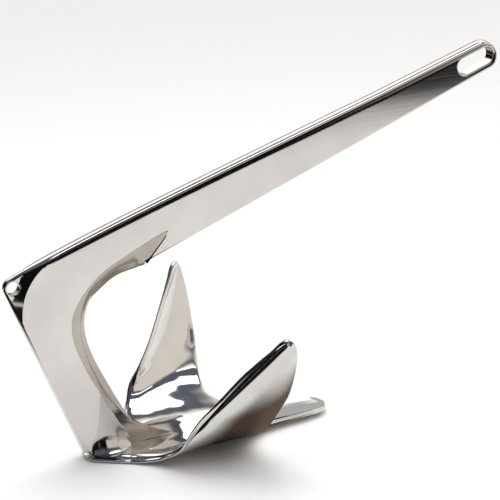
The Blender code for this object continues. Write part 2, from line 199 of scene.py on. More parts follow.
def add_piece(name, verts, faces, material, normals=None):
    mesh = bpy.data.meshes.new(name)
    mesh.from_pydata([Vector(v) for v in verts], [], faces)
    mesh.materials.append(material)
    work = bmesh.new()
    work.from_mesh(mesh)
    bmesh.ops.recalc_face_normals(work, faces=work.faces)
    work.to_mesh(mesh)
    work.free()
    mesh.shade_smooth()
    if normals is not None:
        mesh.normals_split_custom_set_from_vertices([Vector(n) for n in normals])
    item = bpy.data.objects.new(name, mesh)
    bpy.context.scene.collection.objects.link(item)
    return item


# ---- the anchor's outlines ------------------------------------------------

def top_edge(x):
    """Nearly straight, with a slight swell that fades out along the arm."""
    share = np.clip(x / SWELL_END, 0.0, 1.0)
    return HEEL_R / math.cos(TOP_ANGLE) + x * math.tan(TOP_ANGLE) + SWELL * np.sin(math.pi * share ** 0.6)


def low_edge(x):
    return -ARM_DEPTH + x * math.tan(LOWER_ANGLE)


def back_edge(z):
    return (-HEEL_R - z * math.cos(BACK_ANGLE)) / math.sin(BACK_ANGLE)


def foot_z():
    return -EYE_HEIGHT + PLATE_T + GAP


def leg_point(width, share):
    """A point ahead of the leg's back edge by the width, down the leg by a share of the eye's height."""
    z = -EYE_HEIGHT * share
    return (back_edge(z) + width, z)


def foot_point(ahead, rise):
    """A point ahead of the leg's heel at the foot, above the foot's underside."""
    return (back_edge(foot_z()) + ahead, foot_z() + rise)


def round_corner(before, corner, after, radius, steps):
    inward = (before - corner) / np.linalg.norm(before - corner)
    outward = (after - corner) / np.linalg.norm(after - corner)
    half = math.acos(float(np.clip(inward @ outward, -1, 1))) / 2
    middle = (inward + outward) / np.linalg.norm(inward + outward)
    centre = corner + middle * radius / math.sin(half)
    first = corner + inward * radius / math.tan(half) - centre
    last = corner + outward * radius / math.tan(half) - centre
    start = math.atan2(first[1], first[0])
    turn = math.atan2(last[1], last[0]) - start
    turn = (turn + math.pi) % (2 * math.pi) - math.pi
    return arc(centre, radius, start, start + turn, steps)


def stiffener_tip():
    return np.array((0.1573, low_edge(0.1573) + 0.0192))


def crease_line():
    """Where the throat stiffener meets the shank, from its upper tip down to the foot."""
    bend = [stiffener_tip(), (0.1180, 0.0135), (0.0840, -0.0050)]
    leg = [(0.0582, 0.176), (0.0448, 0.316), (0.0427, 0.474), (0.0453, 0.653), (0.0481, 0.800)]
    return curve(bend + [leg_point(*p) for p in leg], 12)


def throat_line():
    """Thin inner edge of the stiffener, from under the arm round the throat and out over the claw."""
    bend = [(0.1290, low_edge(0.1310) - 0.0030), (0.1050, -0.0058), (0.0870, -0.0168)]
    leg = [(0.0739, 0.153), (0.0598, 0.274), (0.0547, 0.437), (0.0574, 0.666), (0.0608, 0.790)]
    spine = [(0.0639, 0.0115), (0.0839, 0.0045), (0.0959, 0.0012)]
    return curve(bend + [leg_point(*p) for p in leg] + [foot_point(*p) for p in spine], 12)


def shank_outline():
    """Counter-clockwise from the heel, down the leg, up the throat and out along the arm."""
    base = foot_z() - SINK
    heel = arc(EYE, HEEL_R, TOP_NORMAL, BACK_NORMAL, 24)
    leg_back = [np.array((back_edge(base), base))]
    foot_front = [np.array((foot_point(0.0499, 0.0)[0], base))]
    crease = crease_line()[::-1]
    under = [np.array((0.1312, low_edge(0.1312)))]
    corner_low = np.array((ARM_REACH - END_LEAN, low_edge(ARM_REACH - END_LEAN)))
    corner_top = np.array((ARM_REACH, top_edge(ARM_REACH)))
    low = round_corner(under[0], corner_low, corner_top, END_LOW_R, 16)
    back = np.array((SWELL_END, top_edge(SWELL_END)))
    top = round_corner(corner_low, corner_top, back, END_TOP_R, 18) + [back]
    upper = [np.array((x, top_edge(x))) for x in np.linspace(0.985, 0.016, 90) * SWELL_END]
    return divide(heel + leg_back + foot_front + crease + under + low + top + upper, 0.004)


def slot_loop(grow=0.0):
    angle = (TOP_ANGLE + LOWER_ANGLE) / 2
    along = np.array((math.cos(angle), math.sin(angle)))
    centre = np.array((SLOT_X, (top_edge(SLOT_X) + low_edge(SLOT_X)) / 2))
    half = (SLOT_LEN - SLOT_W) / 2
    radius = SLOT_W / 2 + grow
    right = arc(centre + along * half, radius, angle - math.pi / 2, angle + math.pi / 2, 28)
    left = arc(centre - along * half, radius, angle + math.pi / 2, angle + 1.5 * math.pi, 28)
    return right + left


def eye_loop(grow=0.0):
    return arc(EYE, EYE_R + grow, 0.0, 2 * math.pi, 48)[:-1]


def bend_centre():
    """Centre of the round that is tangent to the arm's upper edge and the leg's back edge."""
    lift = np.array((-math.sin(TOP_ANGLE), math.cos(TOP_ANGLE)))
    back = np.array((-math.sin(BACK_ANGLE), -math.cos(BACK_ANGLE)))
    rows = np.array((lift, back))
    return np.linalg.solve(rows, np.array((HEEL_R - BEND_R, HEEL_R - BEND_R)))


def bend_arcs():
    """Two close arcs where the full thickness ends and the slope down to the lug begins."""
    lines = []
    for radius in (BEND_R - 0.00015, BEND_R + 0.00025):
        trim = math.acos((BEND_R - 1.4 * EDGE_R) / radius)
        lines.append(np.array(arc(bend_centre(), radius, TOP_NORMAL + trim, BACK_NORMAL - trim, 70)))
    return lines


# ---- shank ----------------------------------------------------------------

def side_height(points):
    """Half thickness over the side plane: full in the bend, thin at the lug, crowned along the arm's top."""
    pts = np.asarray(points, float)
    out = pts - bend_centre()
    facing = np.arctan2(out[:, 1], out[:, 0]) % (2 * math.pi)
    between = (facing > TOP_NORMAL) & (facing < BACK_NORMAL)
    beyond = np.linalg.norm(out, axis=1) - BEND_R
    share = np.clip(beyond / LUG_SLOPE, 0.0, 1.0) * between
    half = SHANK_T / 2 + (LUG_T - SHANK_T) / 2 * share
    below = (top_edge(pts[:, 0]) - pts[:, 1]) * math.cos(TOP_ANGLE)
    crown = np.clip(1 - below / CROWN_WIDTH, 0.0, 1.5)
    along = smooth((pts[:, 0] - 0.004) / 0.05)
    ripple = np.array([noise.noise(Vector((p[0] * 9, p[1] * 30, 4.0))) for p in pts])
    half -= math.tan(CROWN_TILT) * CROWN_WIDTH / 2 * crown ** 2 * along
    return half + ripple * SIDE_RIPPLE


def side_slope(points):
    step = 0.0002
    pts = np.asarray(points, float)
    dx = side_height(pts + (step, 0)) - side_height(pts - (step, 0))
    dz = side_height(pts + (0, step)) - side_height(pts - (0, step))
    return np.stack((dx, dz), 1) / (2 * step)


def loop_outward(loop, hole):
    """Unit normals of a counter-clockwise loop, out of the metal."""
    pts = np.array(loop)
    ahead = np.roll(pts, -1, 0) - pts
    ahead /= np.linalg.norm(ahead, axis=1)[:, None]
    both = ahead + np.roll(ahead, 1, 0)
    normal = np.stack((both[:, 1], -both[:, 0]), 1)
    normal /= np.linalg.norm(normal, axis=1)[:, None]
    across = np.stack((ahead[:, 1], -ahead[:, 0]), 1)
    stretch = np.clip((normal * across).sum(1), 0.5, 1)
    sign = -1.0 if hole else 1.0
    return normal * sign, stretch


def edge_rings(loop, hole, radius):
    """Rounded edge of a loop: for each angle the ring's points, outward normals, depth and tilt."""
    outward, stretch = loop_outward(loop, hole)
    rings = []
    steepest = 90 if hole else 90 - math.degrees(RIM_TILT)
    for degrees in np.array((1.0, 0.86, 0.7, 0.55, 0.4, 0.25, 0.1, 0.0)) * steepest:
        angle = math.radians(degrees)
        inset = radius * (1 - math.sin(angle))
        pts = np.array(loop) - outward * (inset / stretch)[:, None]
        rings.append((pts, outward, radius * (1 - math.cos(angle)), angle))
    return rings


def inside(points, loop):
    """Which points lie inside a closed loop."""
    a = np.array(loop)
    b = np.roll(a, -1, 0)
    x, z = points[:, :1], points[:, 1:]
    crosses = (a[None, :, 1] > z) != (b[None, :, 1] > z)
    run = b[None, :, 1] - a[None, :, 1]
    cut = a[None, :, 0] + (z - a[None, :, 1]) * (b[None, :, 0] - a[None, :, 0]) / np.where(run == 0, 1, run)
    return (crosses & (x < cut)).sum(1) % 2 == 1


def clear_of(points, loop, margin):
    a = np.array(loop)
    gap = np.sqrt(((points[:, None] - a[None]) ** 2).sum(2)).min(1)
    return gap > margin


def inner_points(outer, holes):
    low, high = outer.min(0), outer.max(0)
    rows = np.arange(low[1], high[1], MESH_STEP * 0.87)
    cells = []
    for i, z in enumerate(rows):
        xs = np.arange(low[0] + (i % 2) * MESH_STEP / 2, high[0], MESH_STEP)
        cells.append(np.stack((xs, np.full_like(xs, z)), 1))
    pts = np.vstack(cells)
    pts = pts[inside(pts, outer) & clear_of(pts, outer, MESH_STEP * 0.6)]
    for hole in holes:
        pts = pts[~inside(pts, hole) & clear_of(pts, hole, MESH_STEP * 0.4)]
    return pts


def flat_sheet(loops):
    """Triangles of the side plane between the loops, whose own points come first and in order."""
    loose = inner_points(loops[0], loops[1:])
    creases = [line[clear_of(line, loops[0], MESH_STEP * 0.4)] for line in bend_arcs()]
    for line in creases:
        loose = loose[clear_of(loose, line, MESH_STEP * 0.35)]
    flat = np.vstack(loops + creases + [loose])
    edges = []
    start = 0
    for loop in loops:
        edges += [(start + i, start + (i + 1) % len(loop)) for i in range(len(loop))]
        start += len(loop)
    for line in creases:
        edges += [(start + i, start + i + 1) for i in range(len(line) - 1)]
        start += len(line)
    result = delaunay_2d_cdt([Vector(p) for p in flat], edges, [], 0, 1e-8)
    points = np.array([tuple(p) for p in result[0]])
    tris = np.array(result[2])
    middle = points[tris].mean(1)
    keep = inside(middle, loops[0])
    for hole in loops[1:]:
        keep &= ~inside(middle, hole)
    return points, tris[keep]


def side_normals(points, outward, angle, side):
    """Face normal leaned outwards by the edge's rounding and by the side's own slope."""
    slope = side_slope(points)
    lean = outward * math.sin(angle) - slope * math.cos(angle)
    full = np.stack((lean[:, 0], np.full(len(points), side * math.cos(angle)), lean[:, 1]), 1)
    return full / np.linalg.norm(full, axis=1)[:, None]


def build_shank(material):
    inset = (SHANK_T / 2 - EDGE_R) * math.tan(RIM_TILT) * RIM_INSET
    outer = shank_outline()
    outward, stretch = loop_outward(outer, False)
    outer = [p for p in np.array(outer) - outward * (inset / stretch)[:, None]]
    outlines = [(outer, False, EDGE_R), (slot_loop(), True, HOLE_R), (eye_loop(), True, HOLE_R)]
    rings = [edge_rings(*entry) for entry in outlines]
    points, tris = flat_sheet([ring[-1][0] for ring in rings])
    verts, normals, faces = [], [], []
    ring_start = {}
    for side in (-1, 1):
        cap = len(verts)
        height = side_height(points)
        for p, h in zip(points, height):
            verts.append(to_world(p[0], side * h, p[1]))
        normals += list(side_normals(points, np.zeros_like(points), 0.0, side))
        faces += [tuple(cap + t) for t in tris]
        cap_start = cap
        for number, ring in enumerate(rings):
            size = len(ring[0][0])
            tallest = side_height(ring[-1][0])
            starts = []
            for pts, outward, depth, angle in ring[:-1]:
                starts.append(len(verts))
                for p, h in zip(pts, tallest):
                    verts.append(to_world(p[0], side * (h - depth), p[1]))
                normals += list(side_normals(pts, outward, angle, side))
            starts.append(cap_start)
            cap_start += size
            for a, b in zip(starts, starts[1:]):
                faces += band(a, b, size)
            ring_start[(side, number)] = starts[0]
    for number, ring in enumerate(rings):
        pts, outward, depth, angle = ring[0]
        size = len(pts)
        half = side_height(ring[-1][0]) - depth
        last = ring_start[(-1, number)]
        tilt = 0.0 if outlines[number][1] else RIM_TILT
        for across in np.linspace(-0.75, 0.75, 7):
            bulge = half * math.tan(tilt) / 2 * (1 - across ** 2)
            row = pts + outward * bulge[:, None]
            start = len(verts)
            verts += [to_world(p[0], h * across, p[1]) for p, h in zip(row, half)]
            lean = math.atan(math.tan(tilt) * across)
            flat = np.stack((outward[:, 0], np.full(size, math.tan(lean)), outward[:, 1]), 1)
            normals += list(flat / np.linalg.norm(flat, axis=1)[:, None])
            faces += band(last, start, size)
            last = start
        faces += band(last, ring_start[(1, number)], size)
    return add_piece("shank_visual", verts, faces, material, normals)


# ---- throat stiffener -----------------------------------------------------

def web_line():
    """The crease, a little inside the shank."""
    crease = np.array(crease_line())
    step = np.gradient(crease, axis=0)
    step /= np.linalg.norm(step, axis=1)[:, None]
    return crease - np.stack((-step[:, 1], step[:, 0]), 1) * EDGE_R * 0.9


def stiffener_profile():
    """Share across and half thickness: a shallow bevel, a steeper one past the middle, a round nose."""
    half = SHANK_T / 2 - 0.0001
    nose = STIFF_NOSE / 2
    ridge = [(0.0, half), (0.14, half), (0.16, half * 0.993), (0.28, half * 0.94),
             (0.44, half * 0.87), (0.48, half * 0.845)]
    bevel = [(0.62, half * 0.72), (0.78, half * 0.56), (0.88, nose + 0.0014)]
    tip = [(0.93, nose + 0.0006), (0.97, nose - 0.0004), (0.993, nose - 0.0014), (1.0, nose - 0.0024)]
    return ridge + bevel + tip


def build_stiffener(material):
    web = web_line()
    split = int(np.argmin(abs(web[:, 0] - 0.1240)))
    foot = np.array([foot_point(0.0490, -SINK)])
    tip = stiffener_tip()
    under = np.array((0.1300, low_edge(0.1310)))
    feather = np.array([tip + (under - tip) * share for share in np.linspace(0.02, 1.0, 30)])
    feather += (EDGE_R * 1.3, EDGE_R * 0.2)
    web_side = np.vstack((resample(web[:split + 1], 30), resample(web[split:], 149), foot))
    nose_side = np.vstack((feather, resample(throat_line(), 150)))
    profile = stiffener_profile()
    verts = []
    count = 2 * len(profile)
    full = profile[0][1]
    for i, (a, b) in enumerate(zip(web_side, nose_side)):
        fade = min(np.linalg.norm(b - a) / STIFFENER_WIDTH, 1.0) if i >= len(feather) else FEATHER_BEVEL
        point = smooth((i / len(web_side) - SPINE_START) / (SPINE_FULL - SPINE_START))
        ring = []
        for share, half in profile:
            bevelled = full + (half - full) * fade
            pointed = full * SPINE_SPREAD * (1 - share) + SINK
            ring.append((a + (b - a) * share, bevelled + (pointed - bevelled) * point))
        verts += [to_world(p[0], -half, p[1]) for p, half in ring]
        verts += [to_world(p[0], half, p[1]) for p, half in reversed(ring)]
    item = add_piece("stiffener_visual", verts, loft(len(web_side), count), material)
    item.data.set_sharp_from_angle(angle=math.radians(38))
    return item


# ---- claw -----------------------------------------------------------------

def rear_edge():
    """Rear edge of the plate, middle to tip (ahead of the leg's heel, share of the half spread, rise)."""
    return [(0.0031, 0.0, 0.0), (0.0044, 0.062, 0.0), (0.0109, 0.108, 0.0),
            (0.0219, 0.164, 0.0), (0.0384, 0.243, 0.0), (0.0534, 0.329, 0.0028),
            (0.0639, 0.401, 0.0078), (0.0764, 0.502, 0.0190), (0.0941, 0.602, 0.0408),
            (0.1147, 0.709, 0.0710), (0.1327, 0.814, 0.0970), (0.1558, 0.957, 0.1267),
            (0.1613, 0.987, 0.1307)]


def front_edge():
    """Front edge from the toe to the tip, in the same measures."""
    return [(0.2674, 0.0, 0.0005), (0.2629, 0.079, 0.0008), (0.2529, 0.132, 0.0015),
            (0.2299, 0.165, 0.0025), (0.1969, 0.197, 0.0030), (0.1799, 0.237, 0.0042),
            (0.1674, 0.309, 0.0068), (0.1594, 0.408, 0.0118), (0.1597, 0.513, 0.0190),
            (0.1625, 0.605, 0.0280), (0.1657, 0.678, 0.0400), (0.1691, 0.748, 0.0540),
            (0.1714, 0.826, 0.0690), (0.1727, 0.888, 0.0855), (0.1731, 0.948, 0.1040),
            (0.1714, 0.993, 0.1220), (0.1677, 1.000, 0.1310)]


def placed_edge(shares):
    heel = back_edge(foot_z())
    return [(heel + ahead, share * HALF_SPREAD, PLATE_T + rise) for ahead, share, rise in shares]


def at_shares(line, shares):
    run = np.linspace(0.0, 1.0, len(line))
    return np.stack([np.interp(shares, run, line[:, i]) for i in range(3)], 1)


def crossing_ribs(columns):
    """Rear and front ends of the plate's ribs, from the left tip over the middle to the right tip."""
    steps = np.linspace(0.0, 1.0, columns)
    knots = (0.0, 0.36, 0.56, 1.0)
    rear_shares = np.interp(steps, knots, (0.0, 0.18, 0.36, 1.0))
    front_shares = np.interp(steps, knots, (0.0, 0.276, 0.47, 1.0))
    rear = at_shares(resample(curve(placed_edge(rear_edge()), 12), 600), rear_shares)
    front = at_shares(resample(curve(placed_edge(front_edge()), 12), 900), front_shares)
    mirror = np.array((1.0, -1.0, 1.0))
    return np.vstack((rear[:0:-1] * mirror, rear)), np.vstack((front[:0:-1] * mirror, front))


def plate_grid(columns, rows):
    """Upper surface of the claw: ribs from the rear edge to the front edge, bellied outwards in the lobes."""
    rear, ends = crossing_ribs(columns)
    grid = []
    for a, b in zip(rear, ends):
        rise = min(max((a[2] + b[2]) / 2 - PLATE_T, 0.0) / 0.06, 1.0) * np.linalg.norm(b - a)
        side = math.copysign(1.0, a[1]) if abs(a[1]) > 1e-6 else 0.0
        lift = BELLY_LIFT * math.exp(-((abs(a[1] + b[1]) / 2 - LIFT_Y) / LIFT_WIDTH) ** 2)
        bulge = np.array((0.0, side * BELLY_OUT, -BELLY_DOWN)) * rise
        belly = bulge + np.array((0.0, 0.0, lift))
        t = np.linspace(0.0, 1.0, rows + 1)[:, None] ** 1.3
        start = a + (b - a) / np.linalg.norm(b - a) * (REAR_NOSE - FRONT_NOSE)
        grid.append(start * (1 - t) + b * t + belly * 4 * t * (1 - t))
    return np.array(grid)


def grid_normals(grid):
    """Area-weighted normals of the grid's points, facing up in the middle of the plate."""
    total = np.zeros_like(grid)
    face = np.cross(grid[1:, 1:] - grid[:-1, :-1], grid[:-1, 1:] - grid[1:, :-1])
    for i in (0, 1):
        for k in (0, 1):
            total[i:len(grid) - 1 + i, k:grid.shape[1] - 1 + k] += face
    total /= np.linalg.norm(total, axis=2)[:, :, None]
    return total * np.sign(total[len(grid) // 2, 0, 2])


def soften(grid, passes):
    """Evens the grid out across the ribs, its outer ribs and both edges kept."""
    for _ in range(passes):
        middle = (grid[2:] + grid[:-2]) / 2
        grid[1:-1, 1:-1] += (middle[:, 1:-1] - grid[1:-1, 1:-1]) * 0.5
    return grid


def thicken(grid):
    """The plate's two faces: the edges bound the upper one at the foot, the outer one up on the lobes."""
    normal = grid_normals(grid)
    climb = np.clip((grid[:, :, 2:] - PLATE_T - 0.010) / 0.035, 0.0, 1.0)
    ahead = np.linspace(0.0, 1.0, grid.shape[1])[None, :, None]
    depth = PLATE_T * (1 - FRONT_TAPER * ahead ** 2)
    upper = grid + normal * depth * smooth(climb) * (1 - ahead / 2)
    lower = upper - normal * depth
    from_rim = np.linalg.norm(grid - grid[:, :1], axis=2)[:, :, None]
    rib = np.linalg.norm(grid[:, -1:] - grid[:, :1], axis=2)[:, :, None]
    inward = np.clip(1 - from_rim / RIM_WIDTH, 0.0, 1.0)
    fall = RIM_FALL * (1 - np.sqrt(1 - 0.98 * inward ** 2)) * smooth(rib / FULL_RIB)
    upper = upper - normal * fall * (1 - smooth(climb))
    lower = lower + normal * fall * smooth(climb)
    return upper, lower, normal


def ripple(points, normal, scale, size):
    """Slight waviness that pressing and buffing leave in the plate."""
    flat = points.reshape(-1, 3)
    waves = [noise.noise(Vector(p) * scale) + 0.4 * noise.noise(Vector(p) * scale * 2.3) for p in flat]
    return points + normal * (np.array(waves) * size).reshape(points.shape[:2])[:, :, None]


def boundary(columns, rows):
    path = [(i, 0) for i in range(columns)]
    path += [(columns - 1, k) for k in range(1, rows)]
    path += [(i, rows) for i in range(columns - 1, -1, -1)]
    path += [(0, k) for k in range(rows - 1, 0, -1)]
    return path


def build_claw(material):
    grid = soften(plate_grid(150, 48), 12)
    upper, lower, normal = thicken(grid)
    upper = ripple(upper, normal, PLATE_WAVES, PLATE_RIPPLE)
    lower[:, :, 2] = np.maximum(lower[:, :, 2], 0.0)
    columns, rows = upper.shape[:2]
    size = columns * rows
    verts = list(upper.reshape(-1, 3)) + list(lower.reshape(-1, 3))
    faces = []
    for i in range(columns - 1):
        for k in range(rows - 1):
            a, b, c, d = i * rows + k, (i + 1) * rows + k, (i + 1) * rows + k + 1, i * rows + k + 1
            faces.append((a, b, c, d))
            faces.append((size + d, size + c, size + b, size + a))
    path = boundary(columns, rows - 1)
    ring = [i * rows + k for i, k in path]
    top = np.array([verts[r] for r in ring])
    low = np.array([verts[size + r] for r in ring])
    ahead = np.roll(top, -1, 0) - np.roll(top, 1, 0)
    out = np.cross(ahead, np.array([normal[i, k] for i, k in path]))
    out /= np.maximum(np.linalg.norm(out, axis=1), 1e-12)[:, None]
    if ((top - top.mean(axis=0)) * out).sum() < 0:
        out = -out
    rib = np.linalg.norm(upper[:, -1] - upper[:, 0], axis=1)
    full = smooth(rib / FULL_RIB)
    wide = REAR_NOSE * full + FRONT_NOSE * (1 - full)
    nose = np.array([wide[i] + (FRONT_NOSE - wide[i]) * k / (rows - 1) for i, k in path])[:, None]
    layers = [ring]
    for angle in np.radians((12, 26, 42, 60, 90, 120, 138, 154, 168)):
        share = (1 - math.cos(angle)) / 2
        first = len(verts)
        verts += list(top + (low - top) * share + out * nose * math.sin(angle))
        layers.append(list(range(first, first + len(ring))))
    layers.append([size + r for r in ring])
    for above, under in zip(layers, layers[1:]):
        for i in range(len(ring)):
            j = (i + 1) % len(ring)
            faces.append((above[i], under[i], under[j], above[j]))
    placed = [(v[0] + EYE_X, v[1], v[2] + FLOOR_Z) for v in verts]
    return add_piece("claw_visual", placed, faces, material)


# ---- foot welds -----------------------------------------------------------

def weld_stations():
    """Along the foot: (ahead of the heel, low fillet's share, the ridge's height, its reach)."""
    tall, out = WELD_RISE, RIDGE_REACH
    return [(0.0062, 0.10, 0.20 * tall, 0.0), (0.0085, 0.62, 0.24 * tall, 0.0),
            (0.0125, 0.92, 0.36 * tall, 0.0), (0.0165, 1.00, 0.50 * tall, 0.1 * out),
            (0.0190, 1.00, 0.78 * tall, 0.4 * out), (0.0210, 1.00, 0.92 * tall, 0.9 * out),
            (0.0235, 1.00, 0.84 * tall, out), (0.0270, 0.98, 0.74 * tall, out),
            (0.0309, 0.94, 0.62 * tall, out), (0.0354, 0.86, 0.48 * tall, out),
            (0.0399, 0.74, 0.36 * tall, 0.7 * out), (0.0444, 0.52, 0.26 * tall, 0.4 * out),
            (0.0484, 0.24, 0.14 * tall, 0.1 * out)]


def hollow(share):
    """A quarter round: one at the foot, nothing from its full height up."""
    return 1 - np.sqrt(1 - np.clip(1 - share, 0.0, 1.0) ** 2)


def build_weld(name, side, material):
    """Hollow fillet between the leg's side and the plate, with a narrow ridge up along the stiffener."""
    rows = np.array(curve(weld_stations(), 8))
    ring = 40
    inner = SHANK_T / 2 - SINK
    verts = []
    for ahead, low, rise, reach in rows:
        x, base = foot_point(ahead, -SINK)
        height = max(rise, low * FILLET_RISE)
        z = height * (1 - np.cos(math.pi / 2 * np.linspace(0.0, 1.0, ring + 1)))
        y = low * FILLET_REACH * hollow(z / (low * FILLET_RISE)) + reach * hollow(z / height)
        profile = [(inner, base)] + [(inner + SINK + v, base + w) for v, w in zip(y, z)]
        profile[-1] = (inner, profile[-1][1])
        verts += [to_world(x, side * v, w) for v, w in profile]
    item = add_piece(name, verts, loft(len(rows), ring + 2), material)
    item.data.set_sharp_from_angle(angle=math.radians(50))
    return item


# ---- materials ------------------------------------------------------------

def polished(name, colour, shade, roughness, spread, lines, line_depth):
    """Buffed stainless steel: faint cloudiness in colour, and fine polishing lines along one way."""
    material = bpy.data.materials.new(name)
    material.use_nodes = True
    tree = material.node_tree
    shader = tree.nodes["Principled BSDF"]
    shader.inputs["Metallic"].default_value = 1.0
    place = tree.nodes.new("ShaderNodeTexCoord")
    cloud = tree.nodes.new("ShaderNodeTexNoise")
    cloud.inputs["Scale"].default_value = 18.0
    cloud.inputs["Detail"].default_value = 3.0
    tree.links.new(place.outputs["Object"], cloud.inputs["Vector"])
    tint = tree.nodes.new("ShaderNodeValToRGB")
    tint.color_ramp.elements[0].position = 0.35
    tint.color_ramp.elements[0].color = (*shade, 1.0)
    tint.color_ramp.elements[1].position = 0.65
    tint.color_ramp.elements[1].color = (*colour, 1.0)
    tree.links.new(cloud.outputs["Fac"], tint.inputs["Fac"])
    tree.links.new(tint.outputs["Color"], shader.inputs["Base Color"])
    stretch = tree.nodes.new("ShaderNodeMapping")
    stretch.inputs["Scale"].default_value = lines
    tree.links.new(place.outputs["Object"], stretch.inputs["Vector"])
    grain = tree.nodes.new("ShaderNodeTexNoise")
    grain.inputs["Scale"].default_value = 1.0
    grain.inputs["Detail"].default_value = 2.0
    tree.links.new(stretch.outputs["Vector"], grain.inputs["Vector"])
    gloss = tree.nodes.new("ShaderNodeMapRange")
    gloss.inputs["To Min"].default_value = roughness
    gloss.inputs["To Max"].default_value = roughness + spread
    tree.links.new(grain.outputs["Fac"], gloss.inputs["Value"])
    tree.links.new(gloss.outputs["Result"], shader.inputs["Roughness"])
    bump = tree.nodes.new("ShaderNodeBump")
    bump.inputs["Strength"].default_value = 0.25
    bump.inputs["Distance"].default_value = line_depth
    tree.links.new(grain.outputs["Fac"], bump.inputs["Height"])
    tree.links.new(bump.outputs["Normal"], shader.inputs["Normal"])
    return material


def plain(name, colour, roughness):
    material = bpy.data.materials.new(name)
    material.use_nodes = True
    shader = material.node_tree.nodes["Principled BSDF"]
    shader.inputs["Base Color"].default_value = (*colour, 1.0)
    shader.inputs["Roughness"].default_value = roughness
    shader.inputs["Specular IOR Level"].default_value = 0.2
    return material


# ---- studio ---------------------------------------------------------------

def add_stage_plane(name, low, high, height, material, seen=True):
    near = [(low[0], low[1], height), (high[0], low[1], height)]
    far = [(high[0], high[1], height), (low[0], high[1], height)]
    mesh = bpy.data.meshes.new(name)
    mesh.from_pydata(near + far, [], [(0, 1, 2, 3)])
    mesh.materials.append(material)
    item = bpy.data.objects.new(name, mesh)
    bpy.context.scene.collection.objects.link(item)
    item.visible_camera = seen
    item.visible_shadow = seen
    item.visible_diffuse = seen


def add_softbox(name, place, aim, width, depth, power, colour):
    light = bpy.data.lights.new(name, "AREA")
    light.shape = "RECTANGLE"
    light.size = width
    light.size_y = depth
    light.energy = power
    light.color = colour
    item = bpy.data.objects.new(name, light)
    item.location = place
    item.rotation_euler = (Vector(aim) - Vector(place)).to_track_quat("-Z", "Y").to_euler()
    item.visible_camera = False
    bpy.context.scene.collection.objects.link(item)


def ramp(tree, source, start, end, low, high):
    node = tree.nodes.new("ShaderNodeMapRange")
    node.interpolation_type = "SMOOTHSTEP"
    node.inputs["From Min"].default_value = start
    node.inputs["From Max"].default_value = end
    node.inputs["To Min"].default_value = low
    node.inputs["To Max"].default_value = high
    tree.links.new(source, node.inputs["Value"])
    return node.outputs["Result"]


def combine(tree, operation, a, b):
    node = tree.nodes.new("ShaderNodeMath")
    node.operation = operation
    tree.links.new(a, node.inputs[0])
    tree.links.new(b, node.inputs[1])
    return node.outputs["Value"]


def blend_colour(tree, share, first, second):
    node = tree.nodes.new("ShaderNodeMix")
    node.data_type = "RGBA"
    tree.links.new(share, node.inputs["Factor"])
    for socket, value in ((node.inputs[6], first), (node.inputs[7], second)):
        if isinstance(value, tuple):
            socket.default_value = (*value, 1.0)
        else:
            tree.links.new(value, socket)
    return node.outputs[2]


def build_room():
    """White sweep behind the anchor, a dim ceiling, a warm right side, and darkness on the near side.

    It lights the scene and shows in the steel; the camera sees plain white in its place.
    """
    world = bpy.data.worlds.new("studio")
    world.use_nodes = True
    bpy.context.scene.world = world
    tree = world.node_tree
    backdrop = tree.nodes["Background"]
    place = tree.nodes.new("ShaderNodeTexCoord")
    split = tree.nodes.new("ShaderNodeSeparateXYZ")
    tree.links.new(place.outputs["Generated"], split.inputs["Vector"])
    behind = ramp(tree, split.outputs["Y"], 0.05, 0.30, 0.0, 1.0)
    not_left = ramp(tree, split.outputs["X"], -0.45, -0.15, 0.0, 1.0)
    not_right = ramp(tree, split.outputs["X"], 0.52, 0.72, 1.0, 0.0)
    under_top = ramp(tree, split.outputs["Z"], 0.62, 0.80, 1.0, 0.0)
    across = combine(tree, "MULTIPLY", not_left, not_right)
    sweep = combine(tree, "MULTIPLY", combine(tree, "MULTIPLY", behind, across), under_top)
    above = ramp(tree, split.outputs["Z"], 0.36, 0.47, 0.0, 1.0)
    upper_sweep = blend_colour(tree, above, (0.55, 0.55, 0.56), (1.9, 1.9, 1.9))
    horizon = ramp(tree, split.outputs["Z"], 0.06, 0.16, 0.0, 1.0)
    sweep_colour = blend_colour(tree, horizon, (0.03, 0.03, 0.03), upper_sweep)
    ceiling = ramp(tree, split.outputs["Z"], 0.50, 0.75, 0.0, 1.0)
    far_side = ramp(tree, split.outputs["Y"], -0.75, -0.45, 0.0, 1.0)
    overhead = combine(tree, "MULTIPLY", ceiling, far_side)
    dim = blend_colour(tree, overhead, (0.006, 0.006, 0.007), (0.13, 0.145, 0.19))
    far_right = ramp(tree, split.outputs["X"], 0.34, 0.55, 0.0, 1.0)
    near_right = ramp(tree, split.outputs["X"], 0.0, 0.2, 0.0, 1.0)
    lifted = ramp(tree, split.outputs["Z"], 0.22, 0.36, 0.0, 1.0)
    right = combine(tree, "MAXIMUM", far_right, combine(tree, "MULTIPLY", near_right, lifted))
    side_low = ramp(tree, split.outputs["Z"], 0.78, 0.86, 1.0, 0.0)
    bounce = combine(tree, "MULTIPLY", right, side_low)
    dim = blend_colour(tree, bounce, dim, (0.95, 0.90, 0.83))
    room = blend_colour(tree, sweep, dim, sweep_colour)
    path = tree.nodes.new("ShaderNodeLightPath")
    final = blend_colour(tree, path.outputs["Is Camera Ray"], room, (1.0, 1.0, 1.0))
    tree.links.new(final, backdrop.inputs["Color"])


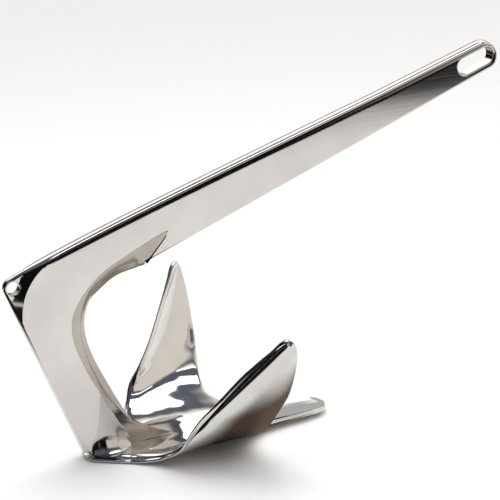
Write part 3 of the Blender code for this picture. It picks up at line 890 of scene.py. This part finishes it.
def soft_flag(name, colour, *fades):
    """Dark cloth, seen only in reflections, that thins out from solid to clear along the given axes; the
    brown one under the claw is a painted contact shadow.
    """
    material = bpy.data.materials.new(name)
    material.use_nodes = True
    tree = material.node_tree
    shader = tree.nodes["Principled BSDF"]
    shader.inputs["Base Color"].default_value = (*colour, 1.0)
    shader.inputs["Roughness"].default_value = 1.0
    shader.inputs["Specular IOR Level"].default_value = 0.0
    place = tree.nodes.new("ShaderNodeTexCoord")
    split = tree.nodes.new("ShaderNodeSeparateXYZ")
    tree.links.new(place.outputs["Object"], split.inputs["Vector"])
    cover = None
    for axis, clear, solid in fades:
        fade = ramp(tree, split.outputs[axis], clear, solid, 0.0, 1.0)
        cover = fade if cover is None else combine(tree, "MULTIPLY", cover, fade)
    tree.links.new(cover, shader.inputs["Alpha"])
    return material


def add_sky_light(name, strength, softness):
    light = bpy.data.lights.new(name, "SUN")
    light.energy = strength
    light.angle = softness
    item = bpy.data.objects.new(name, light)
    item.rotation_euler = (math.radians(-12.0), math.radians(8.0), 0.0)
    item.visible_glossy = False
    bpy.context.scene.collection.objects.link(item)


def build_studio():
    build_room()
    white = plain("pale floor", (0.96, 0.957, 0.95), 0.6)
    front = soft_flag("front flag cloth", (0.006, 0.006, 0.006), ("Y", -1.12, -1.42))
    rear = soft_flag("rear flag cloth", (0.02, 0.02, 0.022), ("Y", 0.35, 0.75))
    left = soft_flag("left flag cloth", (0.01, 0.01, 0.01), ("X", -0.32, -0.42))
    # The brown sheet under the claw, seen only in reflections, is a painted contact shadow, darker than the
    # floor's own shadow.
    painted_shadow_brown = (0.15, 0.11, 0.09)
    under = soft_flag("painted contact shadow under the claw", painted_shadow_brown, ("Y", -0.21, -0.12), ("X", -0.125, -0.08))
    add_stage_plane("floor", (-6.0, -4.0), (6.0, 6.0), FLOOR_Z - 0.0002, white)
    add_stage_plane("front_flag", (-4.0, -4.0), (4.0, -1.1), FLOOR_Z + 0.002, front, seen=False)
    add_stage_plane("rear_flag", (-4.0, 0.3), (4.0, 4.0), FLOOR_Z + 0.002, rear, seen=False)
    add_stage_plane("left_flag", (-4.0, -1.0), (-0.3, 0.4), FLOOR_Z + 0.003, left, seen=False)
    # Painted contact shadow under the claw: a brown sheet that only the steel's reflections see.
    add_stage_plane("painted_shadow_under_claw", (-0.13, -0.22), (0.05, -0.03), FLOOR_Z + 0.004, under, seen=False)
    add_softbox("overhead", (0.1, 0.45, 1.9), (0.0, 0.0, 0.1), 1.3, 0.7, 11.0, (1.0, 0.99, 0.97))
    add_sky_light("sky_light", 1.7, math.radians(100.0))


# ---- camera ---------------------------------------------------------------

CAMERA_AZIMUTH = math.radians(-22.60)   # round from straight in front, towards the heel
CAMERA_ELEVATION = math.radians(16.74)
CAMERA_ROLL = math.radians(-3.06)
CAMERA_DISTANCE = 1.823
CAMERA_LENS = 129.6
CAMERA_SHIFT = (-0.0142, 0.0, 0.0018)   # its aim, from the middle of the box


def add_camera():
    data = bpy.data.cameras.new("camera")
    data.lens = CAMERA_LENS
    data.sensor_width = 36.0
    item = bpy.data.objects.new("camera", data)
    level = math.cos(CAMERA_ELEVATION)
    east, north = math.sin(CAMERA_AZIMUTH), math.cos(CAMERA_AZIMUTH)
    out = Vector((east * level, -north * level, math.sin(CAMERA_ELEVATION)))
    flat = Vector((0.0, 0.0, 1.0)).cross(out).normalized()
    lift = out.cross(flat)
    right = flat * math.cos(CAMERA_ROLL) + lift * math.sin(CAMERA_ROLL)
    up = out.cross(right)
    middle = (Vector(cad_box[0]) + Vector(cad_box[1])) / 2
    aim = middle + Vector(CAMERA_SHIFT)
    spot = aim + out * CAMERA_DISTANCE
    item.matrix_world = Matrix.Translation(spot) @ Matrix((right, up, out)).transposed().to_4x4()
    bpy.context.scene.collection.objects.link(item)
    bpy.context.scene.camera = item


def main():
    steel = polished("polished stainless", (0.68, 0.655, 0.63), (0.62, 0.59, 0.565), 0.055, 0.05,
                     (14.0, 60.0, 420.0), 0.00002)
    # The stiffener's steel is darker and tan: painted shade standing in for the reflection on its bevels. Its
    # higher roughness is a real, less glossy buff.
    web_steel_painted_shade = polished("buffed web, painted shade", (0.46, 0.425, 0.385), (0.36, 0.33, 0.295), 0.09, 0.07,
                         (40.0, 90.0, 200.0), 0.00004)
    plate = polished("pressed plate, polished", (0.69, 0.68, 0.66), (0.63, 0.61, 0.59), 0.045, 0.045,
                     (60.0, 60.0, 60.0), 0.00003)
    weld = polished("ground weld", (0.58, 0.56, 0.54), (0.46, 0.44, 0.42), 0.10, 0.08,
                    (160.0, 160.0, 160.0), 0.00012)
    pieces = [
        (build_shank(steel), "shank", "polished_steel"),
        (build_stiffener(web_steel_painted_shade), "throat_stiffener", "polished_steel"),
        (build_claw(plate), "claw", "pressed_plate"),
        (build_weld("weld_right_visual", -1, weld), "foot_weld_right", "ground_weld"),
        (build_weld("weld_left_visual", 1, weld), "foot_weld_left", "ground_weld"),
    ]
    for item, node, slot in pieces:
        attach(item, "root")
        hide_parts(node)
    build_studio()
    add_camera()
    bpy.context.scene.view_settings.view_transform = "Standard"


main()
